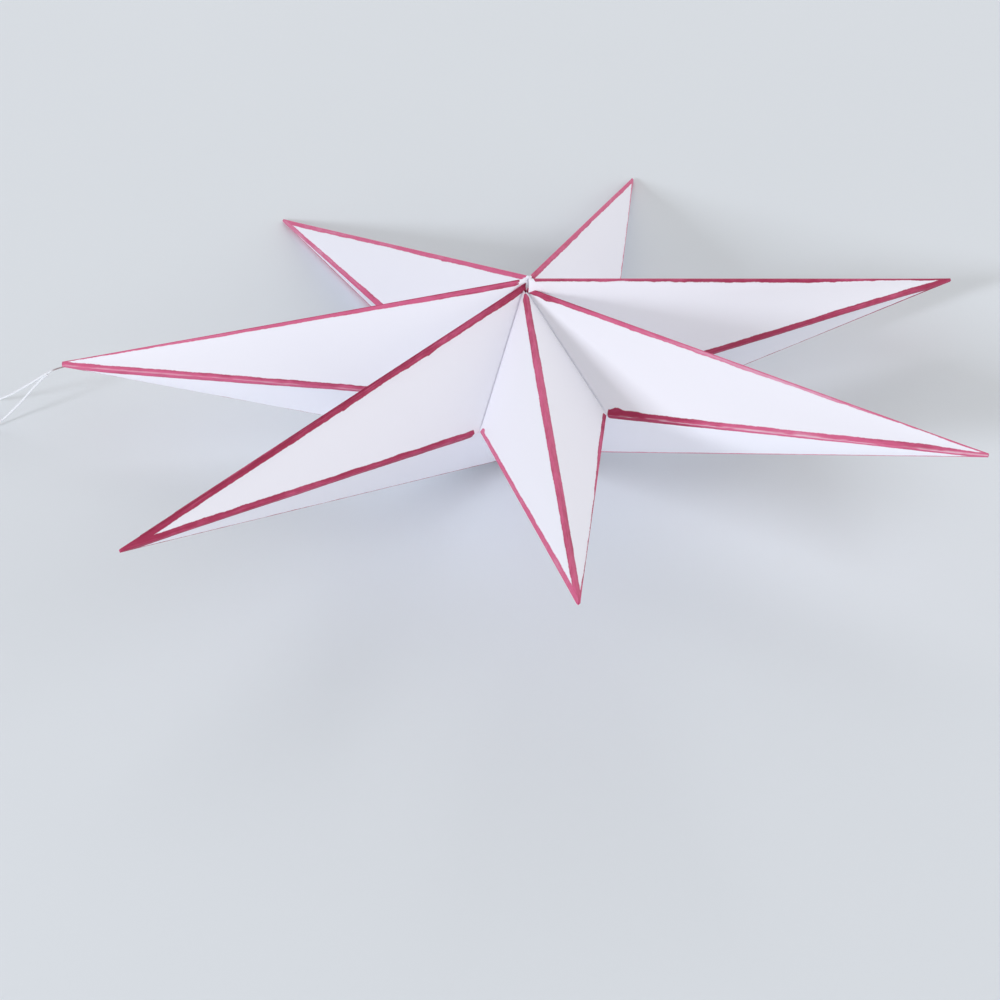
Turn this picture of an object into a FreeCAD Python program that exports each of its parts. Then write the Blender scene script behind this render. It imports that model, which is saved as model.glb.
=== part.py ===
# A hand-made paper star with seven hollow points, lying down as it rests, in millimetres.
# Each point is one sheet of white card: four long triangles folded at the front ridge and
# at both side edges, closed along the back ridge by a lap, with glue flaps along its four
# valley edges. Neighbouring points are glued flap to flap. A thread loop hangs out of one tip.
#
# Star frame: Z runs from the back apex to the front apex, angles are counterclockwise from
# the left point. Point frame: X runs along that point. Rest frame: +Z up, the floor at Z = 0.
import FreeCAD, Part
import math
import os

import Sketcher

Vector = FreeCAD.Vector
Rotation = FreeCAD.Rotation

# Names in the order that they stand round the star, each point followed by its notch.
POINTS = ["left", "front_left", "front", "front_right", "right", "back", "back_left"]

# Sizes that all points share.
SHARED_SIZES = [
    ("star_radius", 140.0, "from the middle of the star to a tip, as folded by plan"),
    ("notch_radius", 39.5, "from the middle of the star to a notch, as folded by plan"),
    ("front_height", 25.1, "front apex above the middle of the star"),
    ("back_height", 27.9, "back apex below the middle of the star"),
    ("paper_thickness", 0.25, "drawing card"),
    ("tip_blunt", 3.0, "length lost at a tip, where the folds would still meet"),
    ("left_tip_blunt", 4.0, "the same at the tip that holds the thread"),
    ("flap_width", 7.0, "glue flap along a valley edge"),
    ("flap_taper", 5.0, "how much shorter a flap is at each end of its free edge"),
    ("flap_apex_gap", 6.0, "from the apex to the start of a flap"),
    ("flap_notch_gap", 6.0, "from the end of a flap to the notch"),
    ("lap_width", 5.0, "lap that closes the back ridge"),
    ("lap_taper", 5.0, "how much shorter the lap is at each end of its free edge"),
    ("lap_tip_gap", 28.0, "from the meeting point of the folds to the lap"),
    ("lap_apex_gap", 16.0, "from the lap to the back apex"),
    ("centre_hole_diameter", 1.8, "small opening where the seven sheets come together"),
    ("thread_diameter", 0.65, "white cotton thread"),
    ("thread_clearance", 0.05, "between the thread and the paper round it"),
    ("stopper_knot_diameter", 1.6, "knot inside the tip that the thread pulls against"),
    ("stopper_knot_length", 2.2, "the same knot, along the thread"),
    ("loop_knot_wrap", 0.12, "how far the loop's knot stands out round its two strands"),
    ("loop_knot_length", 2.4, "the same knot, along the thread"),
    ("loop_knot_reach", 4.6, "from the thread's first bend to that knot"),
    ("loop_knot_lead", 3.6, "how far the returning strand runs straight into that knot"),
    ("loop_knot_clearance", 0.01, "between that knot and the strand it slides on"),
    ("heading", 170.24, "direction of the left tip from the back apex, on the floor"),
]

# The star is hand-made: each tip has its own direction in degrees, how much further out it is
# than the star's radius, and its rise.
TIP_SIZES = {
    "left": (0.0, -2.2, -6.9),
    "front_left": (50.12, 3.95, -3.25),
    "front": (100.15, -2.6, 2.4),
    "front_right": (155.0, -1.6, 7.3),
    "right": (206.35, -1.1, 5.35),
    "back": (260.5, -0.15, 5.3),
    "back_left": (310.2, 2.0, -3.55),
}

# Each notch lies between the point it is named after and the next one round: how far it is
# aside from the middle of their directions, in degrees, how much further out it is than the
# notch radius, and its rise.
NOTCH_SIZES = {
    "left": (0.04, 0.7, -1.65),
    "front_left": (1.815, 0.5, -2.0),
    "front": (1.875, -0.2, 0.95),
    "front_right": (0.025, -0.8, 1.5),
    "right": (-0.225, -0.35, 1.15),
    "back": (-1.05, 0.55, -0.25),
    "back_left": (-2.65, 0.05, 0.3),
}

doc = FreeCAD.newDocument("PaperStar")
sheet = doc.addObject("Spreadsheet::Sheet", "Sizes")
value = {}


def add_size(row, alias, number, note):
    """One driving dimension: a plain number in a cell with a name."""
    sheet.set("A%d" % row, alias)
    sheet.set("B%d" % row, str(number))
    sheet.setAlias("B%d" % row, alias)
    sheet.set("C%d" % row, note)
    value[alias] = float(number)


row = 1
for alias, number, note in SHARED_SIZES:
    add_size(row, alias, number, note)
    row += 1
for name in POINTS:
    for kind, turn, sizes in (("tip", "angle", TIP_SIZES), ("notch", "aside", NOTCH_SIZES)):
        for word, number in zip((turn, "extra", "rise"), sizes[name]):
            add_size(row, "%s_%s_%s" % (name, kind, word), number, "%s %s" % (kind, word))
            row += 1
doc.recompute()


def polar(angle, reach, rise):
    """A point in cylindrical coordinates, with the angle in degrees."""
    turn = math.radians(angle)
    return Vector(reach * math.cos(turn), reach * math.sin(turn), rise)


def plane_of(corner, along, third):
    """A placement with X from corner to along, and third on its +Y side."""
    x_axis = (along - corner).normalize()
    reach = third - corner
    y_axis = (reach - x_axis * reach.dot(x_axis)).normalize()
    return FreeCAD.Placement(corner, Rotation(x_axis, y_axis, x_axis.cross(y_axis), "XYZ"))


def outline(name, corners, placement):
    """A closed sketch outline through corners, with each of its joints made coincident."""
    sketch = doc.addObject("Sketcher::SketchObject", name)
    sketch.Placement = placement
    count = len(corners)
    for i in range(count):
        start, end = corners[i], corners[(i + 1) % count]
        sketch.addGeometry(Part.LineSegment(Vector(*start, 0), Vector(*end, 0)), False)
    for i in range(count):
        sketch.addConstraint(Sketcher.Constraint("Coincident", i, 2, (i + 1) % count, 1))
    return sketch


def drive(sketch, name, constraint, expression):
    """Adds a named constraint and binds it to the sheet."""
    index = sketch.addConstraint(constraint)
    sketch.renameConstraint(index, name)
    sketch.setExpression("Constraints." + name, expression)


def plate(name, sketch, inside):
    """The outline as card, grown from its plane towards the point inside."""
    solid = doc.addObject("Part::Extrusion", name)
    solid.Base = sketch
    solid.DirMode = "Normal"
    solid.Solid = True
    solid.setExpression("LengthFwd", "Sizes.paper_thickness")
    normal = sketch.Placement.Rotation.multVec(Vector(0, 0, 1))
    solid.Reversed = normal.dot(inside - sketch.Placement.Base) < 0
    return solid


def notch_angle(name):
    """The direction of a notch, near the middle between its two points."""
    following = POINTS[(POINTS.index(name) + 1) % len(POINTS)]
    between = (value[following + "_tip_angle"] - value[name + "_tip_angle"]) % 360
    return value[name + "_tip_angle"] + between / 2 + value[name + "_notch_aside"]


class StarPoint:
    """The sizes of one point, in its own frame and as expressions."""

    def __init__(self, name):
        self.name = name
        before = POINTS[POINTS.index(name) - 1]
        self.angle = value[name + "_tip_angle"]
        self.rise = value[name + "_tip_rise"]
        self.blunt_name = "left_tip_blunt" if name == "left" else "tip_blunt"
        self.end_reach = value["star_radius"] + value[name + "_tip_extra"]
        self.fold_reach = self.end_reach + value[self.blunt_name]
        self.meet = Vector(self.fold_reach, 0, self.rise)
        self.apex = {
            "front": Vector(0, 0, value["front_height"]),
            "back": Vector(0, 0, -value["back_height"]),
        }
        self.notch_name = {"near": name, "far": before}
        self.notch = {}
        for side, owner in self.notch_name.items():
            turn = notch_angle(owner) - self.angle
            reach = value["notch_radius"] + value[owner + "_notch_extra"]
            self.notch[side] = polar(turn, reach, value[owner + "_notch_rise"])
        self.inside = Vector(self.fold_reach * 0.4, 0, self.rise * 0.4)

    def ridge_length(self, face):
        """Expression for the ridge, from where the folds meet to the apex."""
        height = "Sizes.front_height" if face == "front" else "(0 - Sizes.back_height)"
        return ("sqrt((Sizes.star_radius + Sizes.%s_tip_extra + Sizes.%s)^2"
                " + (%s - Sizes.%s_tip_rise)^2)") % (
            self.name, self.blunt_name, height, self.name)

    def valley_length(self, face, side):
        """Expression for the valley edge, from the apex to the notch."""
        height = "Sizes.front_height" if face == "front" else "(0 - Sizes.back_height)"
        owner = self.notch_name[side]
        return "sqrt((Sizes.notch_radius + Sizes.%s_notch_extra)^2 + (%s - Sizes.%s_notch_rise)^2)" % (
            owner, height, owner)

    def corners(self):
        """The four root corners, in order round the hollow."""
        return [self.apex["front"], self.notch["near"], self.apex["back"], self.notch["far"]]


def solid_of(faces):
    """A closed solid with flat faces, each given by its corners."""
    flat = [Part.Face(Part.makePolygon(list(corners) + [corners[0]])) for corners in faces]
    solid = Part.Solid(Part.makeShell(flat))
    if solid.Volume < 0:
        solid.reverse()
    return solid


def spike(name, roots, end_share, meet, closing):
    """The four-sided spike from the root corners towards meet, cut off before it."""
    ends = [root + (meet - root) * share for root, share in zip(roots, end_share)]
    faces = [[roots[i], roots[(i + 1) % 4], ends[(i + 1) % 4], ends[i]] for i in range(4)]
    faces.append(ends)
    faces += closing
    feature = doc.addObject("Part::Feature", name)
    feature.Shape = solid_of(faces)
    return feature


def inner_meet(point):
    """Where the folds meet on the inner side of the card, one thickness in from each face."""
    rows, roots = [], point.corners()
    for i in range(4):
        across = (roots[i] - point.meet).cross(roots[(i + 1) % 4] - point.meet).normalize()
        if across.dot(point.inside - point.meet) < 0:
            across = -across
        rows.append(across)
    # Least squares over the four faces, from the normal equations.
    matrix = FreeCAD.Matrix()
    terms = [[sum(r[i] * r[j] for r in rows) for j in range(3)] for i in range(3)]
    (matrix.A11, matrix.A12, matrix.A13), (matrix.A21, matrix.A22, matrix.A23) = terms[:2]
    matrix.A31, matrix.A32, matrix.A33 = terms[2]
    total = Vector(0, 0, 0)
    for across in rows:
        total = total + across * value["paper_thickness"]
    return point.meet + matrix.inverse().multVec(total)


def wall(point):
    """The four long triangles of the folded sheet, open where the point joins the star."""
    roots = point.corners()
    share = [1 - value[point.blunt_name] / (point.fold_reach - root.x) for root in roots]
    front, near, back, far = roots
    outer = spike(point.name + "_outside", roots, share, point.meet,
                  [[front, near, back], [front, back, far]])
    meet = inner_meet(point)
    # The hollow runs on past the seams, so that the sheet is open there.
    deep = [meet + (root - point.meet) * 1.3 for root in roots]
    inner_share = [1 - value[point.blunt_name] / (meet.x - root.x) for root in deep]
    inner = spike(point.name + "_hollow", deep, inner_share, meet,
                  [[deep[0], deep[1], deep[2]], [deep[0], deep[2], deep[3]]])
    return cut(point.name + "_wall", outer, inner)


def cut(name, base, tool):
    result = doc.addObject("Part::Cut", name)
    result.Base = base
    result.Tool = tool
    return result


def tab(name, placement, start, end, low, width, taper, inside, words):
    """A tapered strip along a fold, which it may start below: words are the expressions of
    its sizes."""
    corners = [(start, low), (end, low), (end - taper, low + width), (start + taper, low + width)]
    sketch = outline(name + "_outline", corners, placement)
    sketch.addConstraint(Sketcher.Constraint("Horizontal", 0))
    sketch.addConstraint(Sketcher.Constraint("Horizontal", 2))
    drive(sketch, "start", Sketcher.Constraint("DistanceX", -1, 1, 0, 1, start), words["start"])
    drive(sketch, "end", Sketcher.Constraint("DistanceX", -1, 1, 1, 1, end), words["end"])
    if low:
        drive(sketch, "low", Sketcher.Constraint("DistanceY", 0, 1, -1, 1, -low), words["low"])
    else:
        sketch.addConstraint(Sketcher.Constraint("PointOnObject", 0, 1, -1))
    drive(sketch, "width", Sketcher.Constraint("DistanceY", 1, 1, 1, 2, width), words["width"])
    drive(sketch, "near_taper",
          Sketcher.Constraint("DistanceX", 0, 1, 2, 2, taper), words["taper"])
    drive(sketch, "far_taper",
          Sketcher.Constraint("DistanceX", 1, 2, 1, 1, taper), words["taper"])
    return plate(name, sketch, inside)


def glue_flap(point, face, side):
    """The flap on a valley edge, turned in against the seam plane that holds both apexes."""
    other = "back" if face == "front" else "front"
    apex, notch = point.apex[face], point.notch[side]
    placement = plane_of(apex, notch, point.apex[other])
    length = apex.distanceToPoint(notch)
    words = {
        "start": "Sizes.flap_apex_gap",
        "end": point.valley_length(face, side) + " - Sizes.flap_notch_gap",
        "width": "Sizes.flap_width",
        "taper": "Sizes.flap_taper",
    }
    return tab("%s_%s_%s_flap" % (point.name, face, side), placement,
               value["flap_apex_gap"], length - value["flap_notch_gap"], 0.0,
               value["flap_width"], value["flap_taper"], point.inside, words)


def closing_lap(point):
    """The lap that closes the back ridge: it folds over from one back panel, and lies face to
    face against the inner side of the other."""
    meet = inner_meet(point)
    placement = plane_of(meet, meet + point.apex["back"] - point.meet,
                         meet + point.notch["far"] - point.meet)
    length = point.meet.distanceToPoint(point.apex["back"])
    words = {
        "start": "Sizes.lap_tip_gap",
        "end": point.ridge_length("back") + " - Sizes.lap_apex_gap",
        "low": "Sizes.paper_thickness / 2",
        "width": "Sizes.lap_width",
        "taper": "Sizes.lap_taper",
    }
    return tab(point.name + "_closing_lap", placement, value["lap_tip_gap"],
               length - value["lap_apex_gap"], -value["paper_thickness"] / 2,
               value["lap_width"], value["lap_taper"], point.inside, words)


def centre_drill(point):
    """A pin on the star's axis, as wide as the opening where the sheets come together."""
    pin = doc.addObject("Part::Cylinder", point.name + "_centre_drill")
    pin.setExpression("Radius", "Sizes.centre_hole_diameter / 2")
    pin.setExpression("Height", "1.4 * (Sizes.front_height + Sizes.back_height)")
    pin.setExpression("Placement.Base.z", "0 - 1.4 * Sizes.back_height")
    return pin


def tip_axis(point):
    """The middle line of the hollow point, from where its folds meet, and how fast it widens."""
    ends = list(point.apex.values()) + list(point.notch.values())
    total = Vector(0, 0, 0)
    for end in ends:
        total = total + (end - point.meet).normalize()
    axis = total.normalize()
    widths = []
    for face in point.apex:
        for side in point.notch:
            across = (point.apex[face] - point.meet).cross(point.notch[side] - point.meet)
            widths.append(abs(across.normalize().dot(axis)))
    return axis, min(widths)


def folded_sheet(name):
    """One point of the star: a single folded sheet, in its own frame."""
    point = StarPoint(name)
    parts = [wall(point)]
    parts += [glue_flap(point, face, side)
              for face in ("front", "back") for side in ("near", "far")]
    parts.append(closing_lap(point))
    whole = doc.addObject("Part::MultiFuse", name + "_folded")
    whole.Shapes = parts
    drilled = cut(name + "_drilled", whole, centre_drill(point))
    return point, drilled


# Build the seven sheets.
sheets = {}
for name in POINTS:
    sheets[name] = folded_sheet(name)
doc.recompute()


def check_built():
    """Stops if any object failed, because a recompute alone doesn't say so."""
    for obj in doc.Objects:
        if "Invalid" in obj.State or "Error" in obj.State:
            raise RuntimeError("%s: %s" % (obj.Name, obj.State))


check_built()


def in_star(name, place):
    """A place in the frame of one point, as one in the star frame."""
    return Rotation(Vector(0, 0, 1), sheets[name][0].angle).multVec(place)


def lowest_corner(name):
    """The corner of a blunt tip that comes to the floor, on its back ridge."""
    point = sheets[name][0]
    share = value[point.blunt_name] / point.fold_reach
    return in_star(name, point.meet + (point.apex["back"] - point.meet) * share)


def rest_rotation():
    """Turns the star so that its back apex and its two back tips stand on the floor."""
    apex = Vector(0, 0, -value["back_height"])
    across = lowest_corner("back") - apex
    along = lowest_corner("back_left") - apex
    up = across.cross(along).normalize()
    if up.z < 0:
        up = -up
    lay = Rotation(up, Vector(0, 0, 1))
    left = sheets["left"][0]
    tip = lay.multVec(in_star("left", Vector(left.end_reach, 0, left.rise)) - apex)
    turn = value["heading"] - math.degrees(math.atan2(tip.y, tip.x))
    return Rotation(Vector(0, 0, 1), turn) * lay


def rest_shift(rotation):
    """Puts the middle of the star's box over the origin, and its lowest corner at Z = 0."""
    places = []
    for name, (point, sheet_solid) in sheets.items():
        for vertex in sheet_solid.Shape.Vertexes:
            places.append(rotation.multVec(in_star(name, vertex.Point)))
    middle_x = (min(p.x for p in places) + max(p.x for p in places)) / 2
    middle_y = (min(p.y for p in places) + max(p.y for p in places)) / 2
    return Vector(-middle_x, -middle_y, -min(p.z for p in places))


rest = rest_rotation()
rest_place = FreeCAD.Placement(rest_shift(rest), rest)
parts = []
for name, (point, sheet_solid) in sheets.items():
    turned = FreeCAD.Placement(Vector(0, 0, 0), Rotation(Vector(0, 0, 1), point.angle))
    sheet_solid.Placement = rest_place * turned
    sheet_solid.Label = name + "_point"
    parts.append(sheet_solid)


# The thread, in the rest frame. It is knotted inside the left tip, comes out of the tip's
# blunt end, and its loop is tied back to it by a second small knot just outside.
left_point, left_sheet = sheets["left"]
left_place = left_sheet.Placement
tip_end = left_place.multVec(Vector(left_point.end_reach, 0, left_point.rise))
thread_radius = value["thread_diameter"] / 2
middle, widening = tip_axis(left_point)
knot_room = (value["stopper_knot_diameter"] / 2 + value["paper_thickness"]
             + value["thread_clearance"]) / widening
thread_start = left_place.multVec(left_point.meet + middle * knot_room)

# Chosen places of the thread that hang in the air, from the middle of the tip's end.
OUT_OF_TIP = (-1.8, 0.2, -1.0)
PAST_KNOT = (-8.2, 0.85, -6.05)
UPPER_STRAND = (-17.2, 4.9, -13.6)
LOWER_STRAND = (-14.4, 0.3, -13.2)
# Chosen places on the floor, as X and Y from the middle of the tip's end.
LOOP_ON_FLOOR = [(-26.8, 11.3), (-43.5, 18.5), (-62.0, 19.6), (-76.5, 11.5), (-79.0, -4.5),
                 (-67.0, -15.5), (-49.8, -15.6), (-35.6, -8.4), (-23.4, 0.6)]


def hung(offset):
    return tip_end + Vector(*offset)


def laid(offset):
    return Vector(tip_end.x + offset[0], tip_end.y + offset[1], thread_radius)


out_of_tip = hung(OUT_OF_TIP)
down = (hung(PAST_KNOT) - out_of_tip).normalize()
# The returning strand lies beside the first one where the knot holds them together.
beside = Vector(0.3, -0.6, -0.7)
beside = (beside - down * beside.dot(down)).normalize()
strand_gap = value["thread_diameter"] + value["thread_clearance"]
knot_end = out_of_tip + down * (value["loop_knot_reach"] + value["loop_knot_length"])
thread_end = knot_end + beside * strand_gap
last_bend = thread_end + down * value["loop_knot_lead"]
route = [thread_start, out_of_tip, hung(PAST_KNOT), hung(UPPER_STRAND)]
route += [laid(offset) for offset in LOOP_ON_FLOOR]
route += [hung(LOWER_STRAND), last_bend, thread_end]


def smooth_path(places):
    """Straight runs joined by tangent arcs, each as large as its two runs allow."""
    edges, start, radii = [], places[0], []
    for before, here, after in zip(places, places[1:], places[2:]):
        back_along = (before - here).normalize()
        on_along = (after - here).normalize()
        half_turn = (math.pi - back_along.getAngle(on_along)) / 2
        shorter = min(before.distanceToPoint(here), here.distanceToPoint(after))
        tangent = 0.45 * shorter
        radius = tangent / math.tan(half_turn)
        first, last = here + back_along * tangent, here + on_along * tangent
        inward = (back_along + on_along).normalize()
        top = here + inward * (radius / math.cos(half_turn) - radius)
        edges.append(Part.LineSegment(start, first).toShape())
        edges.append(Part.Arc(first, top, last).toShape())
        radii.append(round(radius, 2))
        start = last
    edges.append(Part.LineSegment(start, places[-1]).toShape())
    print("thread bend radii", radii)
    return Part.Wire(edges)


def swept(name, path, edge_names, extra):
    """A round tube along edges of the path, its radius bound to the sheet."""
    ring = doc.addObject("Part::Circle", name + "_ring")
    ring.setExpression("Radius", "Sizes.thread_diameter / 2 + " + extra)
    along = (route[1] - route[0]).normalize()
    ring.Placement = FreeCAD.Placement(route[0], Rotation(Vector(0, 0, 1), along))
    tube = doc.addObject("Part::Sweep", name)
    tube.Sections = [ring]
    tube.Spine = (path, edge_names)
    tube.Solid = True
    tube.Frenet = False
    return tube


thread_path = doc.addObject("Part::Feature", "thread_path")
thread_path.Shape = smooth_path(route)
path_edges = ["Edge%d" % (i + 1) for i in range(len(thread_path.Shape.Edges))]
thread = swept("thread", thread_path, path_edges, "0")
thread.Label = "hanging_thread"

# The tip is open round the thread, as far as the straight run and bend that cross it.
passage = swept("thread_passage", thread_path, path_edges[:3], "Sizes.thread_clearance")
passage.Placement = left_place.inverse()
opened = cut("left_opened", doc.getObject("left_drilled"), passage)

stopper = doc.addObject("Part::Cylinder", "stopper")
stopper.setExpression("Radius", "Sizes.stopper_knot_diameter / 2")
stopper.setExpression("Height", "Sizes.stopper_knot_length")
stopper.Placement = FreeCAD.Placement(
    thread_start, Rotation(Vector(0, 0, 1), thread_start - out_of_tip))
stopper.Label = "stopper_knot"

# The loop's knot is a band round the two strands, with rounded sides.
band = doc.addObject("Sketcher::SketchObject", "loop_knot_outline")
outer = thread_radius + value["loop_knot_wrap"]
band.addGeometry(Part.LineSegment(Vector(0, outer, 0), Vector(strand_gap, outer, 0)), False)
band.addGeometry(Part.LineSegment(Vector(strand_gap, -outer, 0), Vector(0, -outer, 0)), False)
z_axis = Vector(0, 0, 1)
band.addGeometry(Part.ArcOfCircle(Part.Circle(Vector(0, 0, 0), z_axis, outer),
                                  math.pi / 2, math.pi * 3 / 2), False)
band.addGeometry(Part.ArcOfCircle(Part.Circle(Vector(strand_gap, 0, 0), z_axis, outer),
                                  -math.pi / 2, math.pi / 2), False)
band.addConstraint(Sketcher.Constraint("Coincident", 2, 3, -1, 1))
band.addConstraint(Sketcher.Constraint("PointOnObject", 3, 3, -1))
for line, line_end, arc, arc_end in ((0, 1, 2, 1), (1, 2, 2, 2), (1, 1, 3, 1), (0, 2, 3, 2)):
    band.addConstraint(Sketcher.Constraint("Tangent", line, line_end, arc, arc_end))
drive(band, "around", Sketcher.Constraint("Radius", 2, outer),
      "Sizes.thread_diameter / 2 + Sizes.loop_knot_wrap")
drive(band, "strands", Sketcher.Constraint("DistanceX", 2, 3, 3, 3, strand_gap),
      "Sizes.thread_diameter + Sizes.thread_clearance")
band.Placement = FreeCAD.Placement(
    out_of_tip + down * value["loop_knot_reach"],
    Rotation(beside, down.cross(beside), down, "ZXY"))
knot_body = doc.addObject("Part::Extrusion", "loop_knot_body")
knot_body.Base = band
knot_body.DirMode = "Normal"
knot_body.Solid = True
knot_body.setExpression("LengthFwd", "Sizes.loop_knot_length")
doc.recompute()
check_built()
bore = swept("loop_knot_bore", thread_path, path_edges[:5], "Sizes.loop_knot_clearance")
knot = cut("loop_knot", knot_body, bore)
knot.Label = "loop_knot"
doc.recompute()
check_built()

left_sheet.Label = "left_drilled"
opened.Placement = left_place
opened.Label = "left_point"
left_sheet.Placement = FreeCAD.Placement()
parts[0] = opened
parts += [thread, stopper, knot]

route_length = thread_path.Shape.Length
print("thread route", round(route_length, 2), "mm, volume", round(thread.Shape.Volume, 3),
      "of", round(math.pi * thread_radius ** 2 * route_length, 3))


# Write each sub-part to its own file.
doc.recompute()
check_built()
os.makedirs("parts", exist_ok=True)
for part in parts:
    if part.Shape.isNull() or not part.Shape.isValid():
        raise RuntimeError(part.Label + " has no valid shape")
    part.Shape.exportStep(os.path.join("parts", part.Label + ".step"))
    box = part.Shape.BoundBox
    print(part.Label, len(part.Shape.Solids), round(part.Shape.Volume, 2),
          [round(x, 2) for x in (box.XMin, box.XMax, box.YMin, box.YMax, box.ZMin, box.ZMax)])
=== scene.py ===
import math

import bmesh
import bpy
from mathutils import Matrix, Vector


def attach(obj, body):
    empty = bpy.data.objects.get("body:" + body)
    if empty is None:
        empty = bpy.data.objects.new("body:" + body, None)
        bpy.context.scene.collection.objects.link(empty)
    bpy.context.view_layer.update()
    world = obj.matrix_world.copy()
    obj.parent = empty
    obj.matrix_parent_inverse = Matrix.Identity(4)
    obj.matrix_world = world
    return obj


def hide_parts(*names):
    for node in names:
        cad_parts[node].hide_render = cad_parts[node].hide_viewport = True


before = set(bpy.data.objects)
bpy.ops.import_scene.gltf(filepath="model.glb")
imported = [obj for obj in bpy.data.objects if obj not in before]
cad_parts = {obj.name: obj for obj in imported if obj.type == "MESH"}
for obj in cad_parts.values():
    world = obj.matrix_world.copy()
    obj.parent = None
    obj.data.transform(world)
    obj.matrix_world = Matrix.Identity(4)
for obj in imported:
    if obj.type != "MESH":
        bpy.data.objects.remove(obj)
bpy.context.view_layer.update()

bl_info = {
    "name": "Folded Paper Star",
    "version": (1, 0, 0),
    "blender": (4, 5, 0),
    "location": "View3D > Sidebar > Paper Star",
    "description": "Builds a hand-folded paper star with drawn lines and a thread loop",
    "category": "Add Mesh",
}

MM = 0.001

# Corners of the folded star as it lies, in millimetres. A sheet's folds would meet at its
# meet corner, and its ridge ends at its ridge corner, beside the small opening in the middle.
MEET = {
    "left": (-138.8, 18.5, 22.7), "front_left": (-105.3, -96.1, 50.6),
    "front": (10.1, -133.7, 60.4), "front_right": (123.0, -71.9, 46.6),
    "right": (136.9, 45.7, 16.8), "back": (44.3, 135.1, 0.03), "back_left": (-76.3, 120.9, 0.02),
}
RIDGE_END = {
    "left": (4.05, 7.6, 53.4), "front_left": (3.4, 6.9, 52.05), "front": (3.0, 4.1, 50.7),
    "front_right": (3.8, 6.9, 50.6), "right": (4.0, 7.05, 53.65), "back": (4.5, 7.4, 54.2),
    "back_left": (4.5, 7.8, 53.9),
}
# The notch between a sheet and the next one round.
NOTCH = {
    "left": (-35.8, -11.4, 29.3), "front_left": (-11.75, -35.95, 34.0),
    "front": (23.5, -31.7, 34.2), "front_right": (41.3, -4.0, 27.4),
    "right": (30.4, 28.35, 20.8), "back": (-2.2, 39.8, 18.3), "back_left": (-31.1, 22.7, 22.8),
}
# Where a valley edge isn't straight from ridge to notch: its corners from the ridge on.
CORNERS = {
    ("front_left", "near"): [(2.6, 6.7, 50.2)], ("front", "far"): [(2.6, 6.7, 50.2)],
    ("front", "near"): [(3.5, 5.9, 49.9)], ("front_right", "far"): [(3.5, 5.9, 49.9)],
    ("right", "far"): [(5.9, 5.8, 52.9), (6.8, 6.3, 49.5)],
}
# The back ridges end at one place, on the floor, apart from two sheets that ride up a little.
BACK_APEX = (0.56, -7.16, 0.0)
BACK_END = {"front_right": (0.56, -7.16, 1.3), "left": (0.5, -7.0, 0.7)}
SHEETS = list(MEET)
# How much of a tip is missing where its folds would meet, in millimetres.
BLUNT = {
    "left": 4.6, "front_left": 3.0, "front": 3.0, "front_right": 3.3, "right": 3.0,
    "back": 3.1, "back_left": 3.0,
}

# Drawn lines. Widths on each side of a fold are in millimetres, and tones go from 0, pale,
# to 1, dark, all at these shares of the fold from its tip.
STATIONS = (0.05, 0.2, 0.35, 0.5, 0.65, 0.8, 0.95)
PLAIN = (1.3, 1.3, 0.5, 0.6, 0.0)
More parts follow.
